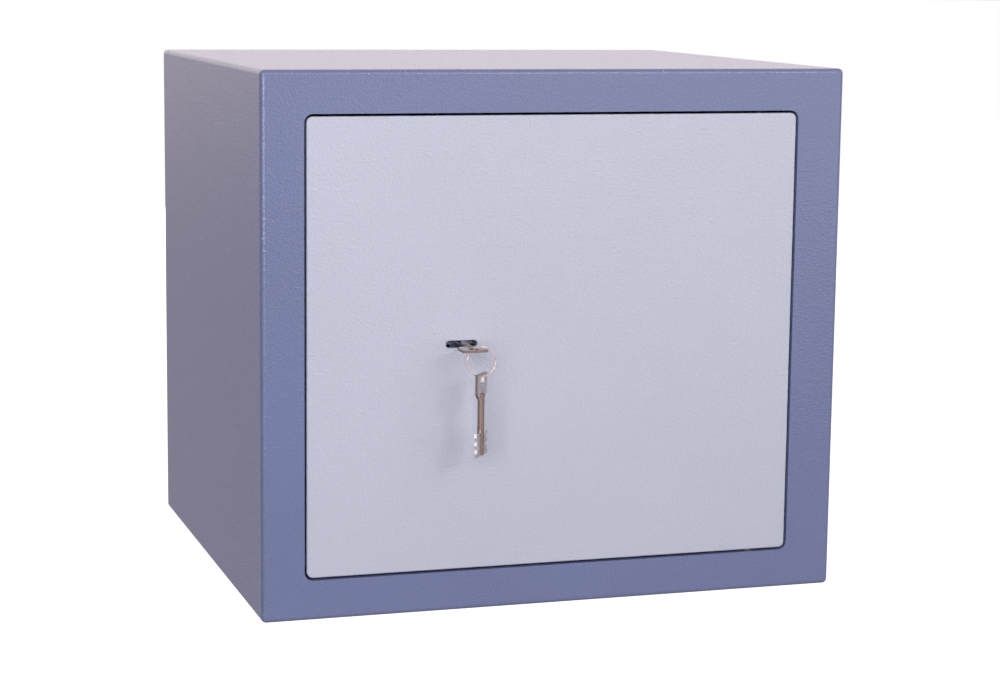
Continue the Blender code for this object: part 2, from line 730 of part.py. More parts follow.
def lever(index):
    """One flat lever: a window round the key and an eye on the post, with its own gate."""
    ring_r = LEVER_WINDOW_R + LEVER_WEB
    eye_r = POST_R + LEVER_EYE
    lean = math.acos((ring_r - eye_r) / POST_OFFSET)
    outline = arc(KEY_X, KEY_Z, ring_r, -math.pi + lean, math.pi - lean, 28)
    outline += arc(POST_X, KEY_Z, eye_r, math.pi - lean, math.pi + lean, 10)
    front = LEVER_START + index * LEVER_PITCH
    back = front + LEVER_T
    bm = prism(outline, "y", y_at(front), y_at(back))
    middle = KEY_Z + (index - (LEVER_COUNT - 1) / 2) * GATE_STEP
    edge = KEY_X + ring_r
    window = circle(KEY_X, KEY_Z, LEVER_WINDOW_R, 32)
    eye = circle(POST_X, KEY_Z, POST_R + SEAM, 20)
    gate = rectangle(edge - GATE_IN, edge + PAST, middle - GATE_HALF, middle + GATE_HALF)
    cuts = [prism(hole, "y", y_at(front - PAST), y_at(back + PAST)) for hole in (window, eye, gate)]
    return solid(f"lever_{index + 1}", bm, bronze(), cuts)


def involute(base_r, radius):
    """The involute function at a radius, for a given base circle."""
    turn = math.acos(base_r / radius)
    return math.tan(turn) - turn


def pinion_outline():
    """Involute teeth, with a tooth centred on +X, thinned for backlash."""
    base_r = PITCH_R * math.cos(PRESSURE)
    tip_r = PITCH_R + ADDENDUM
    root_r = PITCH_R - DEDENDUM
    half_pitch = (math.pi * MODULE / 2 - BACKLASH) / (2 * PITCH_R)
    radii = [base_r + (tip_r - base_r) * i / 5 for i in range(6)]
    spread = half_pitch + involute(base_r, PITCH_R)
    flank = [(r, spread - involute(base_r, r)) for r in radii]
    side = [(root_r, flank[0][1] + ROOT_SPREAD)] + flank
    points = []
    for tooth in range(PINION_TEETH):
        centre = 2 * math.pi * tooth / PINION_TEETH
        for r, a in side:
            points.append((r, centre - a))
        for r, a in reversed(side):
            points.append((r, centre + a))
    return [(KEY_X + r * math.cos(a), KEY_Z + r * math.sin(a)) for r, a in points]


def rack_teeth(start, end, phase):
    """Points of a straight rack, as (along, height over the pitch line), from start to end."""
    pitch = math.pi * MODULE
    half = (pitch / 2 - BACKLASH) / 2
    slope = math.tan(PRESSURE)
    first = math.ceil((start - phase) / pitch + 0.5)
    last = math.floor((end - phase) / pitch - 0.5)
    points = []
    for i in range(first, last + 1):
        middle = phase + i * pitch
        points += [
            (middle - half - DEDENDUM * slope, -DEDENDUM), (middle - half + ADDENDUM * slope, ADDENDUM),
            (middle + half - ADDENDUM * slope, ADDENDUM), (middle + half + DEDENDUM * slope, -DEDENDUM),
        ]
    return points


def key_drum():
    """The slotted drum that the key turns, with the pinion that drives the bolt work."""
    front, back = y_at(0), y_at(BIT_FRONT + BIT_L + RUNNING)
    flange_front = y_at(CAP_BACK + SEAM)
    flange_back = flange_front + DRUM_FLANGE_T
    shoulder = y_at(ROD_BACK + 2 * RUNNING)
    profile = [
        (y_at(HARD_BACK + RUNNING), DRUM_R), (flange_front, DRUM_R),
        (flange_front, DRUM_R + DRUM_FLANGE), (flange_back, DRUM_R + DRUM_FLANGE),
        (flange_back, JOURNAL_R + 2 * RUNNING), (shoulder, JOURNAL_R + 2 * RUNNING),
        (shoulder, JOURNAL_R), (shoulder + JOURNAL_L, JOURNAL_R),
    ]
    pinion = prism(pinion_outline(), "y", y_at(BAR_FRONT - RUNNING), y_at(ROD_BACK + RUNNING))
    wide = DRUM_R + PAST
    tall = BIT_T / 2 + SEAM
    slot = rectangle(KEY_X - wide, KEY_X + wide, KEY_Z - tall, KEY_Z + tall)
    bore = circle(KEY_X, KEY_Z, SHANK_R + SEAM, 32)
    cuts = [prism(hole, "y", front, back) for hole in (slot, bore)]
    drum = lathe(profile, "y", (KEY_X, KEY_Z), 32)
    return solid("key_drum", drum, bare_steel(), cuts, [pinion])


def pinion_bridge():
    """The strap on the lock cap that carries the drum's rear end."""
    foot = y_at(CAP_BACK + SEAM)
    plate = y_at(ROD_BACK) + STRAP_T + 2 * RUNNING
    high, low, t = KEY_Z + STRAP_UP, KEY_Z - STRAP_DOWN, STRAP_T
    strap = [
        (foot, high + STRAP_FOOT), (foot + t, high + STRAP_FOOT), (foot + t, high),
        (plate + t, high), (plate + t, low), (foot + t, low),
        (foot + t, low - STRAP_FOOT), (foot, low - STRAP_FOOT),
        (foot, low + t), (plate, low + t), (plate, high - t), (foot, high - t),
    ]
    half = JOURNAL_R + STRAP_WALL
    bm = prism(strap, "x", KEY_X - half, KEY_X + half)
    hole = prism(circle(KEY_X, KEY_Z, JOURNAL_R + SEAM, 24), "y", plate - t, plate + PAST)
    return solid("pinion_bridge", bm, bare_steel(), [hole])


# ---------------------------------------------------------------- bolt work
def bolt_bar():
    """The bar that carries the three side bolts, with a rack under the pinion."""
    front, back = y_at(BAR_FRONT), y_at(BAR_FRONT + BAR_T)
    low, high = KEY_Z - BOLT_SPREAD - BAR_OVER, KEY_Z + BOLT_SPREAD + BAR_OVER
    rear = BAR_X + BAR_W
    pitch_z = KEY_Z - PITCH_R
    floor = pitch_z - DEDENDUM
    teeth = rack_teeth(KEY_X - RACK_OVER, KEY_X + THROW + RACK_OVER, KEY_X)
    tip = teeth[-1][0] + RACK_END
    web = [(BAR_X, low), (rear, low), (rear, floor - BAR_ARM), (tip, floor - BAR_ARM), (tip, floor)]
    web += [(u, pitch_z + v) for u, v in reversed(teeth)]
    web += [(rear, floor), (rear, high), (BAR_X, high)]
    face = rectangle(y_at(BOLT_DEPTH - BOLT_R), y_at(BOLT_DEPTH + BOLT_R), low, high)
    flange = prism(face, "x", BAR_X, BAR_X + FLANGE_T)
    cuts = []
    for z in bolt_rows():
        hole = circle(y_at(BOLT_DEPTH), z, STUD_R + SEAM, 24)
        cuts.append(prism(hole, "x", BAR_X - PAST, BAR_X + PAST))
        notch = rectangle(BAR_X + FLANGE_T, BAR_X + FLANGE_T + BAR_NOTCH, z - BOLT_R, z + BOLT_R)
        cuts.append(prism(notch, "y", front - PAST, back + PAST))
    for x, z in guide_places():
        slot = obround(x + THROW / 2, z, THROW + 2 * (GUIDE_R + RUNNING), 2 * (GUIDE_R + SEAM))
        cuts.append(prism(slot, "y", front - PAST, back + PAST))
    return solid("bolt_bar", prism(web, "y", front, back), bare_steel(), cuts, [flange])


def guide_places():
    return [(BAR_X + GUIDE_IN, KEY_Z + side * GUIDE_SPREAD) for side in (-1, 1)]


def guide_post(name, x, z):
    """A shouldered post that the bolt bar slides on."""
    shoulder = y_at(BAR_FRONT - SEAM)
    head = y_at(BAR_FRONT + BAR_T + SEAM)
    profile = [
        (y_at(DOOR_T + SEAM), GUIDE_FLANGE_R), (shoulder, GUIDE_FLANGE_R), (shoulder, GUIDE_R),
        (head, GUIDE_R), (head, GUIDE_FLANGE_R), (head + GUIDE_HEAD_T, GUIDE_FLANGE_R - RUNNING),
    ]
    return solid(name, lathe(profile, "y", (x, z), 24), nickel())


def side_bolt(name, z):
    """A round bolt riveted through the bolt bar's flange."""
    shoulder = BAR_X - SEAM
    rivet = BAR_X + FLANGE_T + SEAM
    profile = [
        (PAN_LEFT, BOLT_R - BOLT_CHAMFER), (PAN_LEFT + BOLT_CHAMFER, BOLT_R), (shoulder, BOLT_R),
        (shoulder, STUD_R), (rivet, STUD_R), (rivet, STUD_R + RIVET_R),
        (rivet + RIVET_L, STUD_R + RIVET_R / 2),
    ]
    return solid(name, lathe(profile, "x", (y_at(BOLT_DEPTH), z), 28), nickel())


def locking_rod(name, x, side, teeth_side):
    """A flat rod with a rack beside the pinion, running to a bolt at the top or the bottom."""
    pitch_x = KEY_X + teeth_side * PITCH_R
    back_x = pitch_x + teeth_side * (DEDENDUM + ROD_W)
    root_x = pitch_x + teeth_side * DEDENDUM
    teeth = rack_teeth(-THROW - RACK_OVER, RACK_OVER, math.pi * MODULE / 2)
    tail = teeth[0][0] - RACK_END
    end = rod_end(side)
    outline = [(back_x, KEY_Z + side * tail), (root_x, KEY_Z + side * tail)]
    outline += [(pitch_x - teeth_side * v, KEY_Z + side * u) for u, v in teeth]
    outline += [(root_x, end), (back_x, end)]
    return solid(name, prism(outline, "y", y_at(ROD_FRONT), y_at(ROD_BACK)), bare_steel())


def rod_end(side):
    """Where a rod meets its bolt."""
    edge = OPEN_TOP if side > 0 else OPEN_BOTTOM
    return edge - side * (DOOR_GAP + SEAM + ROD_BOLT_L + SEAM)


def rod_bolt(name, x, side):
    """The round bolt at the end of a locking rod."""
    near = rod_end(side) + side * SEAM
    far = near + side * ROD_BOLT_L
    chamfer_start = far - side * BOLT_CHAMFER
    profile = [(near, ROD_BOLT_R), (chamfer_start, ROD_BOLT_R), (far, ROD_BOLT_R - BOLT_CHAMFER)]
    return solid(name, lathe(profile, "z", (x, y_at(ROD_DEPTH)), 28), nickel())


def rod_guide(name, x, side):
    """A nylon block on the door plate with a slot that a locking rod slides in."""
    half = ROD_W / 2 + RUNNING
    middle = KEY_Z + side * (ROD_GUIDE_OUT - ROD_GUIDE_H / 2)
    low, high = middle - ROD_GUIDE_H / 2, middle + ROD_GUIDE_H / 2
    outer = half + ROD_GUIDE_WALL
    back = y_at(ROD_BACK + ROD_GUIDE_WALL)
    bm = prism(rectangle(x - outer, x + outer, y_at(DOOR_T + SEAM), back), "z", low, high)
    slot = rectangle(x - half, x + half, y_at(ROD_FRONT - SEAM), y_at(ROD_BACK + SEAM))
    return solid(name, bm, nylon(), [prism(slot, "z", low - PAST, high + PAST)])


# ---------------------------------------------------------------- keys
def key_blank():
    """A double-bitted key along +Y from its head, flat in XY, centred on the axis at the origin."""
    half = HEAD_W / 2
    near, far = HEAD_CHAMFER, HEAD_SHOULDER
    head = [(-half, near), (-half + near, 0), (half - near, 0), (half, near), (half, HEAD_L - far),
            (half - far, HEAD_L), (-half + far, HEAD_L), (-half, HEAD_L - far)]
    hole = prism(circle(0, HEAD_HOLE_IN, HEAD_HOLE_R, 24), "z", -PAST, PAST)
    start = HEAD_L + SHANK_L
    end = start + BIT_L
    profile = [(HEAD_L - far, SHANK_R), (end - SHANK_TIP, SHANK_R), (end, SHANK_R - SHANK_TIP)]
    shank = lathe(profile, "y", (0, 0), 24)
    right = []
    for i, reach in enumerate(BIT_CUTS):
        right += [(reach, start + BIT_STEP * i), (reach, start + BIT_STEP * (i + 1))]
    bit = right + [(-u, v) for u, v in reversed(right)]
    bit_solid = prism(bit, "z", -BIT_T / 2, BIT_T / 2)
    return prism(head, "z", -HEAD_T / 2, HEAD_T / 2), [shank, bit_solid], [hole]


def key():
    """The key in the lock, flat, with its bit in the drum."""
    head, joins, cuts = key_blank()
    obj = solid("key", head, nickel(), cuts, joins)
    obj.data.transform(Matrix.Translation((KEY_X, y_at(HEAD_FRONT), KEY_Z)))
    return obj


def ring_y():
    return y_at(HEAD_FRONT + HEAD_HOLE_IN)


def key_ring():
    """A single turn of thin wire through both key heads."""
    bm = bmesh.new()
    around, section = 56, 8
    wire = circle(RING_R, 0, RING_WIRE_R, section)
    rings = []
    for i in range(around):
        a = 2 * math.pi * i / around
        places = [(RING_X + r * math.cos(a), ring_y() + v, RING_Z + r * math.sin(a)) for r, v in wire]
        rings.append([bm.verts.new(place) for place in places])
    for i in range(around):
        for j in range(section):
            k = (j + 1) % section
            n = (i + 1) % around
            bm.faces.new((rings[i][j], rings[n][j], rings[n][k], rings[i][k]))
    bmesh.ops.recalc_face_normals(bm, faces=bm.faces)
    return solid("key_ring", bm, copper_wire())


def spare_key():
    """The second key, hanging from the bottom of the ring with its bit down."""
    head, joins, cuts = key_blank()
    obj = solid("spare_key", head, nickel(), cuts, joins)
    hang = RING_Z - RING_R - (HEAD_HOLE_R - RING_WIRE_R - SEAM) + HEAD_HOLE_IN
    upright = Matrix.Rotation(math.radians(-90), 4, "X") @ Matrix.Rotation(math.radians(90), 4, "Y")
    turn = Matrix.Rotation(SPARE_TURN, 4, "Z") @ upright
    obj.data.transform(Matrix.Translation((RING_X, ring_y(), hang)) @ turn)
    return obj


# ---------------------------------------------------------------- assembly
def build():
    for obj in list(bpy.data.objects):
        bpy.data.objects.remove(obj)

    body = pivot("body_origin", (0, 0, 0))
    for obj in (body_wrap(), jamb_frame(), back_panel(), shelf()):
        settle(obj, (0, 0, 0), body)
    for name, side in (("shelf_rail_left", -1), ("shelf_rail_right", 1)):
        settle(shelf_rail(name, side), (0, 0, 0), body)
    for i, (x, y) in enumerate(base_anchors()):
        settle(anchor_plug(f"base_plug_{i + 1}", "z", (x, y), WALL, -1), (x, y, WALL), body)
    for i, (x, z) in enumerate(back_anchors()):
        plug = anchor_plug(f"back_plug_{i + 1}", "y", (x, z), BACK - WALL, 1)
        settle(plug, (x, BACK - WALL, z), body)
    stop_low = {
        "door_stop_upper": DOOR_TOP - STOP_FROM_TOP,
        "door_stop_lower": DOOR_BOTTOM + STOP_FROM_BOTTOM,
    }
    for name, low in stop_low.items():
        settle(door_stop(name, low), (OPEN_LEFT, y_at(DOOR_T), low), body)
    bracket_low = {
        "upper": OPEN_TOP + JAMB_T + SEAM,
        "lower": OPEN_BOTTOM - JAMB_T - SEAM - BRACKET_H,
    }
    for where, low in bracket_low.items():
        settle(hinge_bracket(f"hinge_bracket_{where}", low), (HINGE_X, HINGE_Y, low), body)
        settle(hinge_bush(f"hinge_bush_{where}", low), (HINGE_X, HINGE_Y, low), body)

    door = pivot("door_pivot", (HINGE_X, HINGE_Y, (DOOR_TOP + DOOR_BOTTOM) / 2), body)
    pieces = [door_plate(), hard_plate(), door_pan(), inner_cover(), dead_bar(), thrust_washer(),
              lock_case(), lock_cap(), lever_post(), pinion_bridge()]
    for i, (x, z) in enumerate(pan_screws()):
        pieces.append(screw(f"cover_screw_{i + 1}", x, z, PAN_DEPTH + SEAM + COVER_T, COVER_HEAD_R))
    for i, (x, z) in enumerate(cap_screws()):
        pieces.append(screw(f"cap_screw_{i + 1}", x, z, CAP_BACK, CAP_HEAD_R))
    for i, (x, z) in enumerate(guide_places()):
        pieces.append(guide_post(f"guide_post_{i + 1}", x, z))
    upper = DOOR_TOP - HINGE_BLOCK_DROP - HINGE_BLOCK_H
    lower = DOOR_BOTTOM + 2 * SEAM
    pieces.append(hinge_block("hinge_block_upper", upper))
    pieces.append(hinge_block("hinge_block_lower", lower))
    pieces.append(hinge_pin("hinge_pin_upper", upper + PIN_LET_IN, 1))
    pieces.append(hinge_pin("hinge_pin_lower", lower + HINGE_BLOCK_H - PIN_LET_IN, -1))
    pieces.append(rod_guide("rod_guide_upper", TOP_ROD_X, 1))
    pieces.append(rod_guide("rod_guide_lower", BOTTOM_ROD_X, -1))
    for obj in pieces:
        settle(obj, world_of(door), door)

    drum = key_drum()
    settle(drum, (KEY_X, y_at(HARD_BACK), KEY_Z), door)
    inserted = key()
    settle(inserted, (KEY_X, y_at(BIT_FRONT), KEY_Z), drum)
    ring = key_ring()
    settle(ring, (KEY_X, ring_y(), KEY_Z), inserted)
    settle(spare_key(), (RING_X, ring_y(), RING_Z), ring)

    bar = bolt_bar()
    settle(bar, (BAR_X, y_at(BOLT_DEPTH), KEY_Z), door)
    for i, z in enumerate(bolt_rows()):
        settle(side_bolt(f"side_bolt_{i + 1}", z), (BAR_X, y_at(BOLT_DEPTH), z), bar)
    for where, x, side, teeth_side in (("top", TOP_ROD_X, 1, -1), ("bottom", BOTTOM_ROD_X, -1, 1)):
        rod = locking_rod(f"{where}_rod", x, side, teeth_side)
        settle(rod, (x, y_at(ROD_DEPTH), KEY_Z), door)
        settle(rod_bolt(f"{where}_bolt", x, side), (x, y_at(ROD_DEPTH), rod_end(side)), rod)
    for i in range(LEVER_COUNT):
        settle(lever(i), (POST_X, y_at(LEVER_START), KEY_Z), door)


build()
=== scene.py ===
"""Looks of a small steel safe with a key lock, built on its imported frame."""
import math

import bmesh
import bpy
from mathutils import Matrix, Vector


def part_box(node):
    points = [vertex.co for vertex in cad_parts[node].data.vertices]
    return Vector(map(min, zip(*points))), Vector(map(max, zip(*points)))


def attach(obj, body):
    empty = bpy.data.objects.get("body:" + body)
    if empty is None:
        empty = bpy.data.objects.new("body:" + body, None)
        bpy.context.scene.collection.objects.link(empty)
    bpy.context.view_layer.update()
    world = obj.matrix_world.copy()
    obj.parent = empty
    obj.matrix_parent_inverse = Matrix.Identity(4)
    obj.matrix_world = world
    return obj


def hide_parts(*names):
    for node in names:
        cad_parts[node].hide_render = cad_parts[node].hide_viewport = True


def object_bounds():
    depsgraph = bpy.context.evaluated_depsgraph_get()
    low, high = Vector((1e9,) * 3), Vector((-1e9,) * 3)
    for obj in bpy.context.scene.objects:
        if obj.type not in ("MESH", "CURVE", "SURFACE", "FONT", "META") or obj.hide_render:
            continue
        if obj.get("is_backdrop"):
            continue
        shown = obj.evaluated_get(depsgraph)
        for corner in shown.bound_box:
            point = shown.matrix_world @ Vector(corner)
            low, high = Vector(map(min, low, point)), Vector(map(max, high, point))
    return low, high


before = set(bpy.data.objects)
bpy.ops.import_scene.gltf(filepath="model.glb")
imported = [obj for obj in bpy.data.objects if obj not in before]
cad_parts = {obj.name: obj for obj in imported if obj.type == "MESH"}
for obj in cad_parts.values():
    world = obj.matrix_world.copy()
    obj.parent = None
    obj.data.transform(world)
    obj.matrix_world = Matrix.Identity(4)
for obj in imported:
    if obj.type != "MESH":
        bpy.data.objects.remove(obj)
cad_low, cad_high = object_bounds()

# ------------------------------------------------------------------ camera and studio
# A long lens a little left of the safe and above it, over a white sweep of floor. Two large
# soft boxes light the front, the left one the stronger. A small high one draws out the coat's
# glints, and one behind lights the back without showing in the gloss.
camera_data = bpy.data.cameras.new("camera")
camera_data.lens = 86.5
camera_data.clip_end = 60
camera = bpy.data.objects.new("camera", camera_data)
tripod = (-0.641, -2.0686, 0.5257)
yaw, pitch, roll = (math.radians(angle) for angle in (17.69, -8.753, 0.656))
camera.matrix_world = (Matrix.Translation(tripod)
                       @ Matrix.Rotation(-yaw, 4, "Z")
                       @ Matrix.Rotation(math.pi / 2 + pitch, 4, "X")
                       @ Matrix.Rotation(roll, 4, "Z"))
bpy.context.scene.collection.objects.link(camera)
bpy.context.scene.camera = camera
bpy.context.scene.view_settings.view_transform = "Standard"


def soft_box(name, azimuth, elevation, distance, size, power, colour):
    """A square area light aimed at the safe; azimuth is in degrees right of its front."""
    data = bpy.data.lights.new(name, "AREA")
    data.shape = "SQUARE"
    data.size = size
    data.energy = power
    data.color = colour
    light = bpy.data.objects.new(name, data)
    aim = Vector((0, cad_low.y, (cad_low.z + cad_high.z) / 2))
    turn, rise = math.radians(azimuth), math.radians(elevation)
    away = Vector((math.sin(turn) * math.cos(rise), -math.cos(turn) * math.cos(rise),
                   math.sin(rise)))
    light.location = aim + away * distance
    light.rotation_euler = away.to_track_quat("Z", "Y").to_euler()
    bpy.context.scene.collection.objects.link(light)
    return light


soft_box("left_box", azimuth=-29, elevation=13, distance=2.6, size=1.5, power=49,
         colour=(1.0, 0.99, 0.985))
soft_box("right_box", azimuth=32, elevation=20, distance=2.6, size=2.6, power=29,
         colour=(1.0, 0.985, 0.97))
soft_box("glint_box", azimuth=24, elevation=25, distance=2.6, size=0.5, power=6.5,
         colour=(1.0, 0.99, 0.98))
back_box = soft_box("back_box", azimuth=178, elevation=3, distance=3.4, size=2.0, power=34,
                    colour=(1.0, 0.99, 0.985))
back_box.visible_glossy = False


def feed(tree, node, **inputs):
    """Set a node's named inputs, each to a fixed value or to another node's output."""
    for name, value in inputs.items():
        socket = node.inputs[name.replace("_", " ")]
        if isinstance(value, bpy.types.NodeSocket):
            tree.links.new(value, socket)
        else:
            socket.default_value = value
    return node


def add(tree, kind, **inputs):
    """A new node of one kind with its named inputs set."""
    return feed(tree, tree.nodes.new(kind), **inputs)


def blend_by(axis, start, end, near, far):
    """Fade from one colour to another along one axis of the view direction."""
    fade = add(room, "ShaderNodeMapRange", Value=split.outputs[axis], From_Min=start, From_Max=end)
    fade.interpolation_type = "SMOOTHSTEP"
    mix = add(room, "ShaderNodeMixRGB", Fac=fade.outputs["Result"], Color1=near, Color2=far)
    return mix.outputs["Color"]


world = bpy.data.worlds.new("studio")
bpy.context.scene.world = world
world.use_nodes = True
world.cycles_visibility.diffuse = False
room = world.node_tree
direction = add(room, "ShaderNodeTexCoord")
split = add(room, "ShaderNodeSeparateXYZ", Vector=direction.outputs["Generated"])
ceiling = blend_by("Y", -0.3, 0.4, (1.08, 1.05, 1.08, 1), (1.22, 1.10, 1.17, 1))
ground = blend_by("Y", -0.3, 0.4, (0.98, 0.96, 1.00, 1), (0.50, 0.46, 0.58, 1))
feed(room, room.nodes["Background"], Color=blend_by("Z", -0.13, 0.10, ground, ceiling))

reach = 40
floor_mesh = bpy.data.meshes.new("floor")
floor_mesh.from_pydata([(-reach, -reach, 0), (reach, -reach, 0), (reach, reach, 0),
                        (-reach, reach, 0)], [], [(0, 1, 2, 3)])
floor = bpy.data.objects.new("floor", floor_mesh)
floor.location.z = -0.0005
floor.visible_diffuse = False
floor.visible_glossy = False
bpy.context.scene.collection.objects.link(floor)
floor_paint = bpy.data.materials.new("floor")
floor_paint.use_nodes = True
feed(floor_paint.node_tree, floor_paint.node_tree.nodes["Principled BSDF"],
     Base_Color=(0.90, 0.90, 0.90, 1), Roughness=0.9, Specular_IOR_Level=0.0,
     Emission_Color=(1.0, 1.0, 1.0, 1), Emission_Strength=1.0)
floor.data.materials.append(floor_paint)
floor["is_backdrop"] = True

# ------------------------------------------------------------------ body shell
# Three-millimetre sheet, folded and welded into a box with a front flange, then powder
# coated blue-grey. The coat has a fine pebbled skin that throws pin-point glints; pale
# flecks of painted highlight in its colour stand in for more of them.


def new_finish(name):
    """A fresh material: itself, its node tree, its shader and the piece's own coordinates."""
    made = bpy.data.materials.new(name)
    made.use_nodes = True
    tree = made.node_tree
    own = add(tree, "ShaderNodeTexCoord").outputs["Object"]
    return made, tree, tree.nodes["Principled BSDF"], own


def grain(tree, place, scale, detail=2):
    """A soft random pattern with so many grains to the metre."""
    made = add(tree, "ShaderNodeTexNoise", Vector=place, Scale=scale, Detail=detail)
    return made.outputs["Fac"]


def ramp(tree, pattern, start, stop, dark, light):
    """Two colours, faded one into the other as a pattern goes from start to stop."""
    tint = add(tree, "ShaderNodeValToRGB", Fac=pattern)
    for end, place, colour in zip(tint.color_ramp.elements, (start, stop), (dark, light)):
        end.position = place
        end.color = (*colour, 1)
    return tint.outputs["Color"]


def spread(tree, pattern, low, high, start=0.0, stop=1.0):
    """A value that goes from low to high as a pattern goes from start to stop."""
    made = add(tree, "ShaderNodeMapRange", Value=pattern, From_Min=start, From_Max=stop,
               To_Min=low, To_Max=high)
    return made.outputs["Result"]


def sums(tree, operation, *values):
    """One step of arithmetic on other nodes' outputs."""
    made = add(tree, "ShaderNodeMath")
    made.operation = operation
    for value, socket in zip(values, made.inputs):
        tree.links.new(value, socket)
    return made.outputs[0]


def raised(tree, height, strength, depth):
    """A surface raised by a pattern, its relief so many metres deep."""
    made = add(tree, "ShaderNodeBump", Height=height, Strength=strength, Distance=depth)
    return made.outputs["Normal"]


def powder_coat(name, colour, mottle, rough, painted_glint_colour, peel):
    """Stoved powder coat: pebbled skin, finer grain, faint mottling and painted-highlight flecks.
    """
    coat, tree, shader, own = new_finish(name)

    cloud, speck = grain(tree, own, 9, 3), grain(tree, own, 900, 2)
    blend = add(tree, "ShaderNodeMix", Factor=0.45, A=cloud, B=speck)
    tint = ramp(tree, blend.outputs[0], 0.30, 0.70,
                [c * (1 - mottle) for c in colour], [min(c * (1 + mottle), 1) for c in colour])
    # Pale flecks mixed into the base colour: painted highlight standing in for the coat's glints.
    painted_glint_cells = add(tree, "ShaderNodeTexVoronoi", Vector=own, Scale=620)
    chosen = spread(tree, painted_glint_cells.outputs["Color"], 0, 1, 0.92, 1)
    spot = spread(tree, painted_glint_cells.outputs["Distance"], 0, 1, 0.45, 0.25)
    with_painted_glints = add(tree, "ShaderNodeMixRGB", Fac=sums(tree, "MULTIPLY", chosen, spot),
                  Color1=tint, Color2=(*painted_glint_colour, 1))

    pebble = tree.nodes.new("ShaderNodeTexVoronoi")
    pebble.feature = "SMOOTH_F1"
    feed(tree, pebble, Vector=own, Scale=520, Smoothness=0.6)
    relief = sums(tree, "ADD", pebble.outputs["Distance"], grain(tree, own, 380, 4))
    skin = raised(tree, relief, peel, 0.0006)

    feed(tree, shader, Base_Color=with_painted_glints.outputs["Color"], Specular_IOR_Level=0.4,
         Roughness=spread(tree, speck, rough - 0.06, rough + 0.06, 0.3, 0.7),
         Normal=skin, Coat_Weight=0.35, Coat_Roughness=0.10, Coat_Normal=skin)
    return coat


def as_piece(name, bm):
    """Make a finished bmesh an object in the scene."""
    mesh = bpy.data.meshes.new(name)
    bm.to_mesh(mesh)
    bm.free()
    piece = bpy.data.objects.new(name, mesh)
    bpy.context.scene.collection.objects.link(piece)
    return piece


def softened(node, break_edge, material, steps=2):
    """A copy of a CAD piece with its flat faces whole again and its sharp edges broken."""
    bm = bmesh.new()
    bm.from_mesh(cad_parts[node].data)
    bmesh.ops.remove_doubles(bm, verts=bm.verts, dist=2e-6)
    bmesh.ops.dissolve_limit(bm, angle_limit=math.radians(0.6), verts=bm.verts, edges=bm.edges)
    piece = as_piece(node + "_finish", bm)
    piece.data.materials.append(material)
    piece.data.shade_smooth()
    bevel = piece.modifiers.new("edge", "BEVEL")
    bevel.width = break_edge
    bevel.segments = steps
    bevel.limit_method = "ANGLE"
    bevel.angle_limit = math.radians(38)
    even = piece.modifiers.new("even", "WEIGHTED_NORMAL")
    even.keep_sharp = True
    even.weight = 90
    return piece


def fit(piece, body, slot, *replaced):
    """Hang a piece on its body and hide the CAD nodes it stands for; slot is not used."""
    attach(piece, body)
    if replaced:
        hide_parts(*replaced)


body_coat = powder_coat("body_powder_coat", colour=(0.156, 0.184, 0.362), mottle=0.05,
                        rough=0.28, painted_glint_colour=(0.80, 0.84, 1.0), peel=0.28)
for part in ("body_wrap", "back_panel"):
    fit(softened(part, 0.0004, body_coat), "body", "body_coat", part)

# ------------------------------------------------------------------ jamb frame
# A rolled steel frame behind the flange. The door closes into it and the bolts shoot
# behind its rear edge. It is welded to the flange and coated with the body.
fit(softened("jamb_frame", 0.0003, body_coat), "body", "body_coat", "jamb_frame")

# ------------------------------------------------------------------ shelf and rails
# A folded sheet shelf with a turned-down lip, loose on two angles that are welded to the
# sides. All three are mild steel, coated with the body.
for part in ("shelf", "shelf_rail_left", "shelf_rail_right"):
    fit(softened(part, 0.0005, body_coat), "body", "body_coat", part)

# ------------------------------------------------------------------ door plate
# One flat steel plate, laser cut with its keyhole. Its edges are rolled over slightly and
# it is coated pale lavender-grey before it is hung.
# The door coat's pale flecks are painted highlight too.
door_coat = powder_coat("door_powder_coat", colour=(0.556, 0.574, 0.708), mottle=0.025,
                        rough=0.33, painted_glint_colour=(0.92, 0.93, 1.0), peel=0.42)
fit(softened("door_plate", 0.0007, door_coat, 3), "door", "door_coat", "door_plate")

# ------------------------------------------------------------------ door pan and inner cover
# A folded tray spot welded behind the plate, and the sheet screwed over it that hides
# the bolt work. Both are coated with the body.
for part in ("door_pan", "inner_cover"):
    fit(softened(part, 0.0004, body_coat), "door", "body_coat", part)

# ------------------------------------------------------------------ weld beads
# Stitches of fillet weld: back panel to walls, jamb to flange, pan to door plate. Each
# stitch is a rippled bead laid along its seam and painted over with the rest.


def new_tree(name, **inputs):
    """A node tree that takes a guide mesh and named inputs of the given kinds."""
    tree = bpy.data.node_groups.new(name, "GeometryNodeTree")
    for label, kind in {"Geometry": "Geometry", **inputs}.items():
        tree.interface.new_socket(label, in_out="INPUT", socket_type="NodeSocket" + kind)
    tree.interface.new_socket("Geometry", in_out="OUTPUT", socket_type="NodeSocketGeometry")
    return tree, tree.nodes.new("NodeGroupInput").outputs


def end_tree(tree, geometry, finish):
    """Close a tree: all that it has placed becomes one plain mesh with one finish."""
    solid = add(tree, "GeometryNodeRealizeInstances", Geometry=geometry)
    paint = add(tree, "GeometryNodeSetMaterial", Geometry=solid.outputs["Geometry"],
                Material=finish)
    add(tree, "NodeGroupOutput", Geometry=paint.outputs["Geometry"])
    return tree


